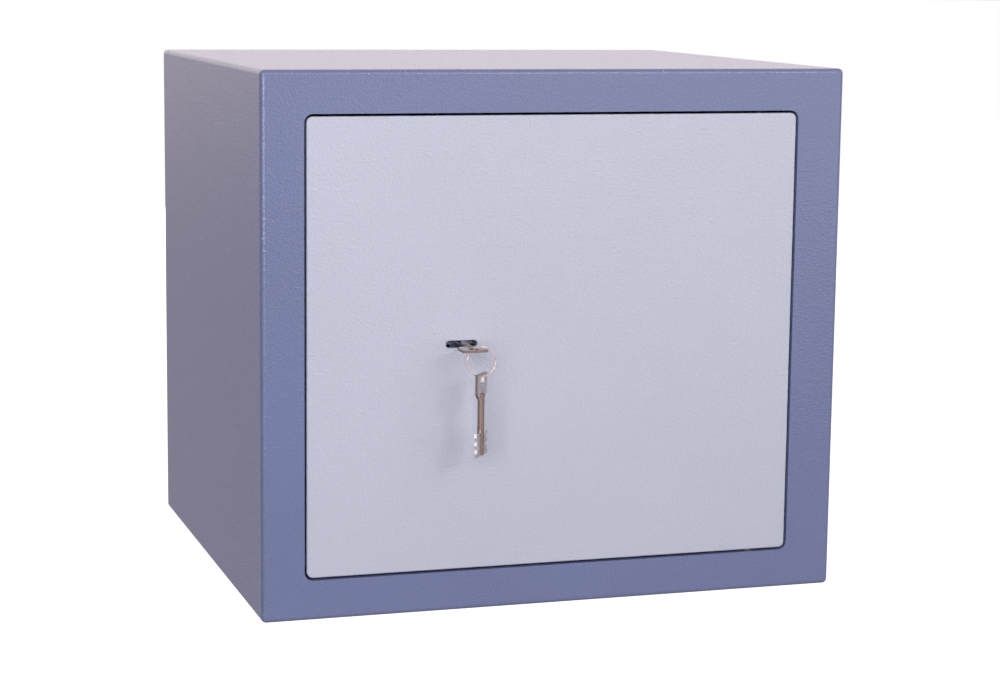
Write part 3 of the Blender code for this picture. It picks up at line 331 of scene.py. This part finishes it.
def bead_tree():
    """Sweeps a rippled round bead along every edge of its guide mesh."""
    tree, given = new_tree("weld_bead", Radius="Float", Ripple="Float", Finish="Material")
    seam = add(tree, "GeometryNodeMeshToCurve", Mesh=given["Geometry"])
    even = tree.nodes.new("GeometryNodeResampleCurve")
    even.mode = "LENGTH"
    feed(tree, even, Curve=seam.outputs["Curve"], Length=0.0009)
    along = add(tree, "GeometryNodeSplineParameter").outputs["Length"]
    wave = sums(tree, "FRACT", sums(tree, "DIVIDE", along, given["Ripple"]))
    width = sums(tree, "MULTIPLY", spread(tree, wave, 1.0, 0.72), given["Radius"])
    ring = add(tree, "GeometryNodeCurvePrimitiveCircle", Resolution=8, Radius=1.0)
    bead = add(tree, "GeometryNodeCurveToMesh", Curve=even.outputs["Curve"],
               Profile_Curve=ring.outputs["Curve"], Scale=width, Fill_Caps=True)
    return end_tree(tree, bead.outputs["Mesh"], given["Finish"])


def grown(name, verts, edges, tree, **settings):
    """Runs a node tree on a small guide mesh and returns the plain mesh piece it makes."""
    guide = bpy.data.meshes.new(name)
    guide.from_pydata(verts, edges, [])
    piece = bpy.data.objects.new(name, guide)
    bpy.context.scene.collection.objects.link(piece)
    modifier = piece.modifiers.new("grow", "NODES")
    modifier.node_group = tree
    for item in tree.interface.items_tree:
        if item.in_out == "INPUT" and item.name in settings:
            modifier[item.identifier] = settings[item.name]
    depsgraph = bpy.context.evaluated_depsgraph_get()
    depsgraph.update()
    made = bpy.data.meshes.new_from_object(piece.evaluated_get(depsgraph))
    piece.modifiers.remove(modifier)
    piece.data = made
    made.name = name
    made.shade_smooth()
    made.set_sharp_from_angle(angle=math.radians(40))
    return piece


def seams_round(low, high, corner, right_corner, breaks):
    """A box's upright seams, then its level ones, on its near face and held off its corners."""
    uprights = [((x, low.y, bottom), (x, low.y, top)) for bottom, top in breaks
                for x in (low.x, high.x)]
    levels = [((low.x + corner, low.y, z), (high.x - right_corner, low.y, z))
              for z in (low.z, high.z)]
    return uprights + levels


def stitches(start, end, length, gap):
    """The two ends of each stitch along a straight seam, in metres."""
    start, end = Vector(start), Vector(end)
    span = (end - start).length
    count = max(1, round((span + gap) / (length + gap)))
    step = (end - start) / count
    half = step.normalized() * length / 2
    middles = [start + step * (i + 0.5) for i in range(count)]
    return [(m - half, m + half) for m in middles]


def weld_run(name, body, seams, length, gap, bead_r, ripple):
    """Lay stitches of one length and gap along some seams."""
    verts, edges = [], []
    for start, end in seams:
        for a, b in stitches(start, end, length, gap):
            edges.append((len(verts), len(verts) + 1))
            verts += [a, b]
    fit(grown(name, verts, edges, weld, Radius=bead_r, Ripple=ripple, Finish=body_coat),
        body, "body_coat")


weld = bead_tree()
corner = 0.014
hinge_clear = 0.075
shelf_low, shelf_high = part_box("shelf")
low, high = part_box("back_panel")
heights = [(low.z + corner, shelf_low.z - corner), (shelf_high.z + corner, high.z - corner)]
weld_run("back_weld", "body", seams_round(low, high, corner, corner, heights),
         length=0.030, gap=0.030, bead_r=0.0016, ripple=0.0026)
low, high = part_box("jamb_frame")
heights = [(low.z + corner, high.z - corner)]
weld_run("jamb_weld", "body", seams_round(low, high, corner, hinge_clear, heights),
         length=0.024, gap=0.036, bead_r=0.0016, ripple=0.0026)
low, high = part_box("door_pan")
heights = [(low.z + corner, high.z - corner)]
weld_run("pan_weld", "door", seams_round(low, high, corner, corner, heights),
         length=0.018, gap=0.042, bead_r=0.0011, ripple=0.0022)

# ------------------------------------------------------------------ plugs and door stops
# Black moulded rubber. The plugs are pushed into the anchor holes from inside; the stops
# are bonded to the lock-side jamb and cushion the door.


def moulded_rubber():
    """Matt black rubber with a faint bloom and a fine spark-eroded grain."""
    made, tree, shader, own = new_finish("black_rubber")
    bloom = grain(tree, own, 120, 4)
    feed(tree, shader, Specular_IOR_Level=0.35,
         Base_Color=ramp(tree, bloom, 0.0, 1.0, (0.012, 0.012, 0.013), (0.045, 0.045, 0.048)),
         Roughness=spread(tree, bloom, 0.62, 0.85),
         Normal=raised(tree, grain(tree, own, 2400), 0.35, 0.0002))
    return made


def spun(profile, steps):
    """A solid of revolution about Z from (height, radius) pairs, closed at both ends."""
    bm = bmesh.new()
    turns = [2 * math.pi * i / steps for i in range(steps)]
    rings = [[bm.verts.new((radius * math.cos(a), radius * math.sin(a), height)) for a in turns]
             for height, radius in profile]
    for end, height in ((rings[0], profile[0][0]), (rings[-1], profile[-1][0])):
        hub = bm.verts.new((0, 0, height))
        for i in range(steps):
            bm.faces.new((end[i], end[(i + 1) % steps], hub))
    for a, b in zip(rings, rings[1:]):
        for i in range(steps):
            j = (i + 1) % steps
            bm.faces.new((a[i], a[j], b[j], b[i]))
    bmesh.ops.recalc_face_normals(bm, faces=bm.faces)
    return bm


def pattern_object(name, bm):
    """A hidden pattern piece that a node tree copies, removed once its copies are made."""
    pattern = as_piece(name, bm)
    pattern.hide_render = True
    return pattern


def copies_tree():
    """Puts a copy of a pattern at each guide point, faced one way and spun at random."""
    tree, given = new_tree("copies", Pattern="Object", Facing="Vector", Spin="Float",
                           Seed="Int", Finish="Material")
    points = add(tree, "GeometryNodeMeshToPoints", Mesh=given["Geometry"])
    pattern = add(tree, "GeometryNodeObjectInfo", Object=given["Pattern"])
    facing = add(tree, "FunctionNodeAlignRotationToVector", Vector=given["Facing"])
    facing.axis = "Z"
    angle = add(tree, "FunctionNodeRandomValue", Seed=given["Seed"])
    angle.data_type = "FLOAT"
    highest, drawn = angle.inputs[3], angle.outputs[1]
    tree.links.new(given["Spin"], highest)
    spin = add(tree, "FunctionNodeAxisAngleToRotation", Angle=drawn)
    turn = add(tree, "FunctionNodeRotateRotation", Rotation=facing.outputs["Rotation"],
               Rotate_By=spin.outputs["Rotation"])
    turn.rotation_space = "LOCAL"
    placed = add(tree, "GeometryNodeInstanceOnPoints", Points=points.outputs["Points"],
                 Instance=pattern.outputs["Geometry"], Rotation=turn.outputs["Rotation"])
    return end_tree(tree, placed.outputs["Instances"], given["Finish"])


def middle(node):
    """The middle of a CAD piece's box."""
    low_corner, high_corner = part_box(node)
    return (low_corner + high_corner) / 2


rubber = moulded_rubber()
copies = copies_tree()
plug_low, plug_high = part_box("base_plug_1")
plug_head = (plug_high.x - plug_low.x) / 2
plug_top = plug_high.z - plug_low.z
plug_shank = plug_head * 0.62
plug_profile = [
    (0.0, plug_shank - 0.0016), (0.0008, plug_shank - 0.0004), (0.0022, plug_shank),
    (plug_top - 0.0023, plug_shank), (plug_top - 0.0022, plug_head - 0.0006),
    (plug_top - 0.0017, plug_head), (plug_top - 0.0011, plug_head - 0.0003),
    (plug_top - 0.0004, plug_head * 0.82), (plug_top, plug_head * 0.60),
    (plug_top, plug_head * 0.40), (plug_top - 0.0006, plug_head * 0.36),
    (plug_top - 0.0006, plug_head * 0.12),
]
plug = pattern_object("plug_pattern", spun(plug_profile, 40))
base_plugs = [f"base_plug_{i}" for i in range(1, 5)]
back_plugs = ["back_plug_1", "back_plug_2"]
seats = [(middle(n).x, middle(n).y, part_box(n)[0].z) for n in base_plugs]
fit(grown("base_plugs", seats, [], copies, Pattern=plug, Facing=(0.0, 0.0, 1.0), Spin=0.0,
          Seed=1, Finish=rubber), "body", "rubber", *base_plugs)
seats = [(middle(n).x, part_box(n)[1].y, middle(n).z) for n in back_plugs]
fit(grown("back_plugs", seats, [], copies, Pattern=plug, Facing=(0.0, -1.0, 0.0), Spin=0.0,
          Seed=1, Finish=rubber), "body", "rubber", *back_plugs)
bpy.data.objects.remove(plug)
for part in ("door_stop_upper", "door_stop_lower"):
    fit(softened(part, 0.0006, rubber, 3), "body", "rubber", part)

# ------------------------------------------------------------------ plain steel pieces
# Mild steel, sheared or milled and left bare under a film of oil: the hinge brackets and
# blocks, the lock's case and cap, the dead bar and the bridge over the pinion. The plate
# that guards the lock is hardened, which darkens it; its dark navy tint is painted shade
# for where it shows inside the keyhole.


def drawn_marks(tree, own, along, length_scale, cross_scale, detail):
    """Tool or polishing marks, drawn out along one axis and fine across it."""
    scales = tuple(length_scale if i == along else cross_scale for i in range(3))
    stretch = add(tree, "ShaderNodeMapping", Vector=own, Scale=scales)
    return grain(tree, stretch.outputs["Vector"], 1.0, detail)


def milled_steel(name, colour, rough, along):
    """Bare steel with tool marks drawn out along one direction and a thin film of oil."""
    made, tree, shader, own = new_finish(name)
    marks, stain = drawn_marks(tree, own, along, 40, 2600, 3), grain(tree, own, 45, 5)
    feed(tree, shader, Metallic=1.0,
         Base_Color=ramp(tree, stain, 0.35, 0.72, [c * 0.72 for c in colour], colour),
         Roughness=spread(tree, marks, rough - 0.12, rough + 0.14),
         Normal=raised(tree, marks, 0.22, 0.0001))
    return made


steel_across = milled_steel("steel_drawn_across", (0.56, 0.56, 0.57), 0.38, 0)
steel_upright = milled_steel("steel_drawn_upright", (0.56, 0.56, 0.57), 0.36, 2)
# Dark navy: hardened steel's own darkness plus painted shade for the keyhole.
hard_steel_painted_shade = milled_steel("steel_hardened_painted_shade", (0.10, 0.12, 0.20), 0.42, 0)
for part in ("hinge_bracket_upper", "hinge_bracket_lower"):
    fit(softened(part, 0.0006, steel_across), "body", "steel", part)
for part in ("hinge_block_upper", "hinge_block_lower", "lock_case", "lock_cap"):
    fit(softened(part, 0.0004, steel_across), "door", "steel", part)
for part in ("dead_bar", "pinion_bridge"):
    fit(softened(part, 0.0005, steel_upright), "door", "steel", part)
fit(softened("hard_plate", 0.0004, hard_steel_painted_shade), "door", "steel", "hard_plate")

# ------------------------------------------------------------------ bolt bar and rods
# Bright drawn flat bar with racks milled in. The bar carries the side bolts, and the rods
# reach up and down from the lock; all three slide when the pinion turns.
fit(softened("bolt_bar", 0.0003, steel_upright), "bolt_bar", "steel", "bolt_bar")
for rod in ("top_rod", "bottom_rod"):
    fit(softened(rod, 0.00015, steel_upright), rod, "steel", rod)

# ------------------------------------------------------------------ drum and pinion
# Turned from round bar and slotted for the key's bit; its dark navy colour is painted shade
# for the inside of the keyhole. Its fourteen teeth are hobbed at the back, and it turns in
# the lock's case and the bridge.
drum_steel_painted_shade = milled_steel("steel_turned_painted_shade", (0.13, 0.16, 0.26), 0.30, 1)
fit(softened("key_drum", 0.00012, drum_steel_painted_shade, 1), "key_drum", "steel", "key_drum")

# ------------------------------------------------------------------ bolts, pins and posts
# Round bright steel, turned and polished. Bolts and posts are nickel plated, and the side
# bolts are riveted through their bar. The hinge pins are coloured near black, painted shade
# for the door gap they show in.


def nickel_plate(name, colour, rough, along):
    """Nickel over steel: fine polishing lines, small scuffs and a warm tarnish in places."""
    made, tree, shader, own = new_finish(name)
    lines, tarnish = drawn_marks(tree, own, along, 120, 3000, 2), grain(tree, own, 210, 5)
    warm = (colour[0] * 0.80, colour[1] * 0.72, colour[2] * 0.66)
    feed(tree, shader, Metallic=1.0,
         Base_Color=ramp(tree, tarnish, 0.38, 0.62, warm, colour),
         Roughness=spread(tree, tarnish, rough + 0.14, rough, 0.35, 0.65),
         Normal=raised(tree, lines, 0.12, 0.00006))
    return made


def turned(node, profile, turn, material):
    """A lathe-turned piece: (distance, radius) pairs along Z, then turned into its place."""
    bm = spun(profile, 64)
    bm.transform(turn)
    piece = as_piece(node + "_finish", bm)
    piece.data.materials.append(material)
    piece.data.shade_smooth()
    piece.data.set_sharp_from_angle(angle=math.radians(32))
    return piece


groove = 0.0003
bolt_plate = nickel_plate("bolt_nickel", (0.60, 0.59, 0.58), 0.20, 0)
lie = Matrix.Rotation(math.pi / 2, 4, "Y")
for bolt in ("side_bolt_1", "side_bolt_2", "side_bolt_3"):
    low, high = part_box(bolt)
    r, length = (high.z - low.z) / 2, high.x - low.x
    neck, rivet, stem_r = length - 0.0071, length - 0.0025, r * 0.5
    profile = [
        (0, r - 0.0022), (0.0004, r - 0.0014), (0.0012, r - 0.0003), (0.0022, r), (0.0120, r),
        (0.0124, r - groove), (0.0130, r - groove), (0.0134, r), (neck, r), (neck, stem_r),
        (rivet, stem_r), (rivet, r * 0.77), (length - 0.0012, r * 0.74),
        (length - 0.0003, r * 0.60), (length, r * 0.35),
    ]
    seat = Matrix.Translation((low.x, middle(bolt).y, middle(bolt).z))
    fit(turned(bolt, profile, seat @ lie, bolt_plate), "bolt_bar", "nickel", bolt)

rod_plate = nickel_plate("rod_bolt_nickel", (0.60, 0.59, 0.58), 0.20, 2)
upright, inverted = Matrix.Identity(4), Matrix.Rotation(math.pi, 4, "X")
for bolt, body, stance in (("top_bolt", "top_rod", upright),
                           ("bottom_bolt", "bottom_rod", inverted)):
    low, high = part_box(bolt)
    r, length = (high.x - low.x) / 2, high.z - low.z
    profile = [
        (0, r - 0.0008), (0.0008, r), (length - 0.0130, r), (length - 0.0126, r - groove),
        (length - 0.0120, r - groove), (length - 0.0116, r), (length - 0.0020, r),
        (length - 0.0011, r - 0.0003), (length - 0.0003, r - 0.0012), (length, r - 0.0020),
    ]
    tail = low.z if stance is upright else high.z
    stand = Matrix.Translation((middle(bolt).x, middle(bolt).y, tail))
    fit(turned(bolt, profile, stand @ stance, rod_plate), body, "nickel", bolt)

# Near-black hinge pins: painted shade where they show in the door gap.
pin_painted_shade = nickel_plate("pin_steel_painted_shade", (0.020, 0.022, 0.030), 0.45, 2)
for pin in ("hinge_pin_upper", "hinge_pin_lower"):
    low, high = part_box(pin)
    r, length = (high.x - low.x) / 2, high.z - low.z
    profile = [
        (0, r - 0.0011), (0.0003, r - 0.0006), (0.0009, r), (length - 0.0009, r),
        (length - 0.0003, r - 0.0006), (length, r - 0.0011),
    ]
    stand = Matrix.Translation((middle(pin).x, middle(pin).y, low.z))
    fit(turned(pin, profile, stand, pin_painted_shade), "door", "nickel", pin)

post_plate = nickel_plate("post_nickel", (0.70, 0.69, 0.67), 0.24, 1)
for post in ("guide_post_1", "guide_post_2", "lever_post"):
    fit(softened(post, 0.0003, post_plate), "door", "nickel", post)

# ------------------------------------------------------------------ screws
# Nickel-plated pan heads with a cross recess and a rolled thread: six hold the inner cover
# and two the lock's cap. Each has stopped at its own angle.
screw_head = 0.0022


def pan_head(head_r, shank_r, shank_l):
    """One screw standing on Z: thread below its seat at 0, domed head and recess above."""
    pitch, root_r, rim = 0.0007, shank_r * 0.86, 0.0006
    profile = [(-shank_l, shank_r * 0.45), (-shank_l + 0.0006, shank_r * 0.7)]
    turn = -shank_l + 0.0010
    while turn < -0.0010:
        profile += [(turn, root_r), (turn + pitch / 2, shank_r)]
        turn += pitch
    profile += [(-0.0003, root_r), (0, shank_r * 0.9), (0, head_r - 0.0002), (0.0002, head_r)]
    profile += [(rim, head_r)]
    for i in range(1, 8):
        a = math.pi / 2 * i / 8
        profile.append((rim + (screw_head - rim) * math.sin(a),
                        head_r * (0.12 + 0.88 * math.cos(a))))
    screw = pattern_object("screw_pattern", spun(profile, 40))
    arm, slot, recess_floor, cutter_h = head_r * 0.58, 0.00042, 0.0010, 0.004
    for half_x, half_y in ((arm, slot), (slot, arm)):
        bm = bmesh.new()
        bmesh.ops.create_cube(bm, size=1)
        bmesh.ops.scale(bm, vec=(half_x * 2, half_y * 2, cutter_h), verts=bm.verts)
        bmesh.ops.translate(bm, vec=(0, 0, recess_floor + cutter_h / 2), verts=bm.verts)
        cutter = pattern_object("recess", bm)
        cut = screw.modifiers.new("recess", "BOOLEAN")
        cut.object = cutter
        cut.operation = "DIFFERENCE"
        depsgraph = bpy.context.evaluated_depsgraph_get()
        shaped = bpy.data.meshes.new_from_object(screw.evaluated_get(depsgraph))
        screw.modifiers.remove(cut)
        screw.data = shaped
        bpy.data.objects.remove(cutter)
    return screw


screw_plate = nickel_plate("screw_nickel", (0.72, 0.72, 0.70), 0.26, 1)
cover_screws = [f"cover_screw_{i}" for i in range(1, 7)]
cap_screws = ["cap_screw_1", "cap_screw_2"]
for name, group, head_r in (("cover_screws", cover_screws, 0.0036),
                            ("cap_screws", cap_screws, 0.0032)):
    low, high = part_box(group[0])
    seat_y = high.y - screw_head
    screw = pan_head(head_r, 0.0019, seat_y - low.y)
    seats = [(middle(n).x, seat_y, middle(n).z) for n in group]
    fit(grown(name, seats, [], copies, Pattern=screw, Facing=(0.0, 1.0, 0.0), Spin=3.1,
              Seed=4, Finish=screw_plate), "door", "nickel", *group)
    bpy.data.objects.remove(screw)

# ------------------------------------------------------------------ bushes, washer and levers
# Sintered bronze for the bushes and the washer, which the pins turn in. The four levers
# are stamped brass, stacked on their post inside the lock's case.


def cast_bronze(name, colour, rough, scale):
    """Warm copper alloy with open grain and darker oil-stained patches."""
    made, tree, shader, own = new_finish(name)
    pores = grain(tree, own, scale, 6)
    feed(tree, shader, Metallic=1.0,
         Base_Color=ramp(tree, pores, 0.35, 0.65, [c * 0.6 for c in colour], colour),
         Roughness=spread(tree, pores, rough + 0.15, rough - 0.1),
         Normal=raised(tree, pores, 0.25, 0.0001))
    return made


bush_bronze = cast_bronze("bush_bronze", (0.34, 0.23, 0.13), 0.45, 900)
lever_brass = cast_bronze("lever_brass", (0.80, 0.61, 0.30), 0.30, 300)
for bush in ("hinge_bush_upper", "hinge_bush_lower"):
    fit(softened(bush, 0.0003, bush_bronze), "body", "bronze", bush)
fit(softened("thrust_washer", 0.0002, bush_bronze), "door", "bronze", "thrust_washer")
for lever in ("lever_1", "lever_2", "lever_3", "lever_4"):
    fit(softened(lever, 0.0002, lever_brass), lever, "bronze", lever)

# ------------------------------------------------------------------ rod guides
# Blocks of injection-moulded nylon, slightly translucent, fixed inside the pan. The two
# locking rods slide in them.
nylon, tree, shader, own = new_finish("guide_nylon")
haze = grain(tree, own, 160, 4)
feed(tree, shader, Subsurface_Weight=0.15, Subsurface_Scale=0.002,
     Base_Color=ramp(tree, haze, 0.0, 1.0, (0.70, 0.68, 0.62), (0.84, 0.83, 0.79)),
     Roughness=spread(tree, haze, 0.38, 0.55))
for guide in ("rod_guide_upper", "rod_guide_lower"):
    fit(softened(guide, 0.0007, nylon, 3), "door", "nylon", guide)

# ------------------------------------------------------------------ keys
# Two identical double-bitted keys, blanked and milled from steel and nickel plated. The
# head's rim is painted dark and the shank brown, both painted reflection; the bit's milled
# steps are painted highlight on the spare and painted shade on the key in the lock.


def key_finish(node, axis, toward_bit, bit_painted_light):
    """A CAD key: faces in plain nickel; rim, shank and bit steps in painted shade and highlight.
    """
    along = "XYZ".index(axis)
    piece = softened(node, 0.00022, nickel_plate(node + "_face", (0.56, 0.53, 0.525), 0.20, along))
    mesh = piece.data
    # Rim: dark brown-grey, painted reflection.
    mesh.materials.append(nickel_plate(node + "_rim", (0.19, 0.165, 0.155), 0.26, along))
    # Shank: warm brown, painted reflection.
    mesh.materials.append(nickel_plate(node + "_shank", (0.235, 0.18, 0.16), 0.22, along))
    # Bit: painted highlight on the spare key, painted shade on the key in the lock.
    mesh.materials.append(nickel_plate(node + "_bit", bit_painted_light, 0.12, along))
    # Every other bit step gets a darker copy: painted shade.
    painted_step_shade = tuple(c * 0.45 for c in bit_painted_light)
    mesh.materials.append(nickel_plate(node + "_steps_painted_shade", painted_step_shade, 0.24, along))
    face, rim, shank_painted_reflection, step, step_painted_shade = range(5)

    head_end, bit_start, bit_step, slack = 0.020, 0.0475, 0.00325, 0.0001
    hole_in, hole_r = 0.0054, 0.0041
    low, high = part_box(node)
    start = low[along] if toward_bit > 0 else high[along]
    hole = (low + high) / 2
    hole[along] = start + toward_bit * hole_in
    flat = max(mesh.polygons, key=lambda p: p.area).normal.copy()
    for p in mesh.polygons:
        far = (p.center[along] - start) * toward_bit
        across = abs(p.normal.dot(flat)) < 0.5
        # The hole's walls take the bit's colour: painted highlight on the spare, painted shade on
        # the key in the lock.
        if across and (p.center - hole).length < hole_r:
            p.material_index = step
        elif far < head_end - slack:
            p.material_index = rim if across else face
        elif far < bit_start - slack:
            p.material_index = shank_painted_reflection
        elif across:
            # Bit steps alternate between the bit's colour and its painted-shade copy.
            p.material_index = step_painted_shade if int((far - bit_start) / bit_step) % 2 else step
        else:
            p.material_index = face
    return piece


# The key in the lock gets a dark navy bit, painted shade; the spare a near-white bit, painted
# highlight.
fit(key_finish("key", "Y", 1, (0.09, 0.11, 0.17)), "key", "nickel", "key")
fit(key_finish("spare_key", "Z", -1, (0.94, 0.96, 1.0)), "spare_key", "nickel", "spare_key")

# ------------------------------------------------------------------ key ring
# One turn of thin copper-plated wire, bent round until its filed ends butt at the side.
# It passes through the hole in each key's head.
low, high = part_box("key_ring")
ring_middle = (low + high) / 2
cad_wire_r = (high.y - low.y) / 2
turn_r = (high.x - low.x) / 2 - cad_wire_r
wire_r = cad_wire_r * 0.86
joint_at, joint_half = math.radians(20), 0.00012 / turn_r
lengths, sides = 200, 16
bm = bmesh.new()
loops = []
for i in range(lengths + 1):
    a = joint_at + joint_half + (2 * math.pi - 2 * joint_half) * i / lengths
    r = wire_r * 0.8 if i in (0, lengths) else wire_r
    loop = []
    for j in range(sides):
        b = 2 * math.pi * j / sides
        out = turn_r + r * math.cos(b)
        point = Vector((out * math.cos(a), r * math.sin(b), out * math.sin(a)))
        loop.append(bm.verts.new(ring_middle + point))
    loops.append(loop)
for one, two in zip(loops, loops[1:]):
    for j in range(sides):
        k = (j + 1) % sides
        bm.faces.new((one[j], two[j], two[k], one[k]))
bm.faces.new(loops[0])
bm.faces.new(loops[-1][::-1])
bmesh.ops.recalc_face_normals(bm, faces=bm.faces)
ring_wire = as_piece("ring_wire", bm)
ring_wire.data.materials.append(cast_bronze("ring_copper", (0.72, 0.47, 0.44), 0.22, 700))
ring_wire.data.shade_smooth()
fit(ring_wire, "key_ring", "copper", "key_ring")

low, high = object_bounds()
